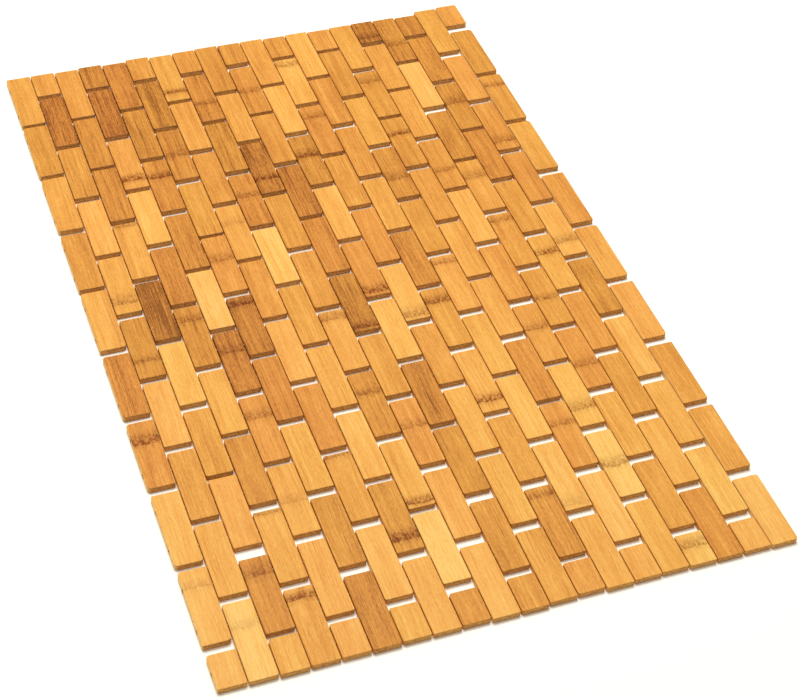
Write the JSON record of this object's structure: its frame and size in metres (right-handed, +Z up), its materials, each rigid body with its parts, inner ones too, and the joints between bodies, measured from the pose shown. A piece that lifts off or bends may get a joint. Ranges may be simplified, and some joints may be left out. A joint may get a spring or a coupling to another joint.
{
  "type": "bath mat",
  "caption": "Roll-up rectangular bath mat of short flat bamboo slats in staggered rows, strung edge to edge on elastic cords, with open drain gaps.",
  "frame": {"origin": "on the floor under the middle of the flat mat: the centre of its bounding box's bottom face", "axes": "+X across the rows, along the elastic cords, from row 1 to row 20; +Y along the slats; +Z up, out of the face one stands on"},
  "size_m": [0.5, 0.79, 0.006],
  "materials": {
    "bamboo": "satin lacquered bamboo, straight grain along the slat, from pale honey to brown from slat to slat",
    "elastic_cord": "matt woven sheath over a rubber core"
  },
  "bodies": {
    "row_01": {"slats_01": "bamboo", "half_slat_01": "bamboo"},
    "row_02": {"slats_02": "bamboo", "half_slat_02": "bamboo"},
    "row_03": {"slats_03": "bamboo", "half_slat_03": "bamboo"},
    "row_04": {"slats_04": "bamboo", "half_slat_04": "bamboo"},
    "row_05": {"slats_05": "bamboo", "half_slat_05": "bamboo"},
    "row_06": {"slats_06": "bamboo", "half_slat_06": "bamboo"},
    "row_07": {"slats_07": "bamboo", "half_slat_07": "bamboo"},
    "row_08": {"slats_08": "bamboo", "half_slat_08": "bamboo"},
    "row_09": {"slats_09": "bamboo", "half_slat_09": "bamboo"},
    "row_10": {"slats_10": "bamboo", "half_slat_10": "bamboo", "cord_01": "elastic_cord", "cord_02": "elastic_cord", "cord_03": "elastic_cord", "cord_04": "elastic_cord", "cord_05": "elastic_cord", "cord_06": "elastic_cord", "cord_07": "elastic_cord", "cord_08": "elastic_cord", "cord_09": "elastic_cord", "cord_10": "elastic_cord", "cord_11": "elastic_cord", "cord_12": "elastic_cord", "cord_13": "elastic_cord", "cord_14": "elastic_cord", "cord_15": "elastic_cord", "cord_16": "elastic_cord", "cord_17": "elastic_cord", "cord_18": "elastic_cord", "cord_19": "elastic_cord"},
    "row_11": {"slats_11": "bamboo", "half_slat_11": "bamboo"},
    "row_12": {"slats_12": "bamboo", "half_slat_12": "bamboo"},
    "row_13": {"slats_13": "bamboo", "half_slat_13": "bamboo"},
    "row_14": {"slats_14": "bamboo", "half_slat_14": "bamboo"},
    "row_15": {"slats_15": "bamboo", "half_slat_15": "bamboo"},
    "row_16": {"slats_16": "bamboo", "half_slat_16": "bamboo"},
    "row_17": {"slats_17": "bamboo", "half_slat_17": "bamboo"},
    "row_18": {"slats_18": "bamboo", "half_slat_18": "bamboo"},
    "row_19": {"slats_19": "bamboo", "half_slat_19": "bamboo"},
    "row_20": {"slats_20": "bamboo", "half_slat_20": "bamboo"}
  },
  "joints": [
    {"name": "seam_01_02", "type": "hinge", "parent": "row_01", "child": "row_02", "pos_m": [-0.22527, 0, 0.006], "axis": [0, -1, 0], "range_deg": [0, 33]},
    {"name": "seam_02_03", "type": "hinge", "parent": "row_02", "child": "row_03", "pos_m": [-0.20024, 0, 0.006], "axis": [0, -1, 0], "range_deg": [0, 33]},
    {"name": "seam_03_04", "type": "hinge", "parent": "row_03", "child": "row_04", "pos_m": [-0.17521, 0, 0.006], "axis": [0, -1, 0], "range_deg": [0, 34]},
    {"name": "seam_04_05", "type": "hinge", "parent": "row_04", "child": "row_05", "pos_m": [-0.15018, 0, 0.006], "axis": [0, -1, 0], "range_deg": [0, 35]},
    {"name": "seam_05_06", "type": "hinge", "parent": "row_05", "child": "row_06", "pos_m": [-0.12515, 0, 0.006], "axis": [0, -1, 0], "range_deg": [0, 36]},
    {"name": "seam_06_07", "type": "hinge", "parent": "row_06", "child": "row_07", "pos_m": [-0.10012, 0, 0.006], "axis": [0, -1, 0], "range_deg": [0, 36]},
    {"name": "seam_07_08", "type": "hinge", "parent": "row_07", "child": "row_08", "pos_m": [-0.07509, 0, 0.006], "axis": [0, -1, 0], "range_deg": [0, 37]},
    {"name": "seam_08_09", "type": "hinge", "parent": "row_08", "child": "row_09", "pos_m": [-0.05006, 0, 0.006], "axis": [0, -1, 0], "range_deg": [0, 38]},
    {"name": "seam_09_10", "type": "hinge", "parent": "row_09", "child": "row_10", "pos_m": [-0.02503, 0, 0.006], "axis": [0, -1, 0], "range_deg": [0, 39]},
    {"name": "seam_10_11", "type": "hinge", "parent": "row_10", "child": "row_11", "pos_m": [0, 0, 0.006], "axis": [0, -1, 0], "range_deg": [0, 41], "deforming": ["cord_01", "cord_02", "cord_03", "cord_04", "cord_05", "cord_06", "cord_07", "cord_08", "cord_09", "cord_10", "cord_11", "cord_12", "cord_13", "cord_14", "cord_15", "cord_16", "cord_17", "cord_18", "cord_19"]},
    {"name": "seam_11_12", "type": "hinge", "parent": "row_11", "child": "row_12", "pos_m": [0.02503, 0, 0.006], "axis": [0, -1, 0], "range_deg": [0, 42]},
    {"name": "seam_12_13", "type": "hinge", "parent": "row_12", "child": "row_13", "pos_m": [0.05006, 0, 0.006], "axis": [0, -1, 0], "range_deg": [0, 43]},
    {"name": "seam_13_14", "type": "hinge", "parent": "row_13", "child": "row_14", "pos_m": [0.07509, 0, 0.006], "axis": [0, -1, 0], "range_deg": [0, 45]},
    {"name": "seam_14_15", "type": "hinge", "parent": "row_14", "child": "row_15", "pos_m": [0.10012, 0, 0.006], "axis": [0, -1, 0], "range_deg": [0, 46]},
    {"name": "seam_15_16", "type": "hinge", "parent": "row_15", "child": "row_16", "pos_m": [0.12515, 0, 0.006], "axis": [0, -1, 0], "range_deg": [0, 48]},
    {"name": "seam_16_17", "type": "hinge", "parent": "row_16", "child": "row_17", "pos_m": [0.15018, 0, 0.006], "axis": [0, -1, 0], "range_deg": [0, 51]},
    {"name": "seam_17_18", "type": "hinge", "parent": "row_17", "child": "row_18", "pos_m": [0.17521, 0, 0.006], "axis": [0, -1, 0], "range_deg": [0, 53]},
    {"name": "seam_18_19", "type": "hinge", "parent": "row_18", "child": "row_19", "pos_m": [0.20024, 0, 0.006], "axis": [0, -1, 0], "range_deg": [0, 56]},
    {"name": "seam_19_20", "type": "hinge", "parent": "row_19", "child": "row_20", "pos_m": [0.22527, 0, 0.006], "axis": [0, -1, 0], "range_deg": [0, 60]}
  ]
}
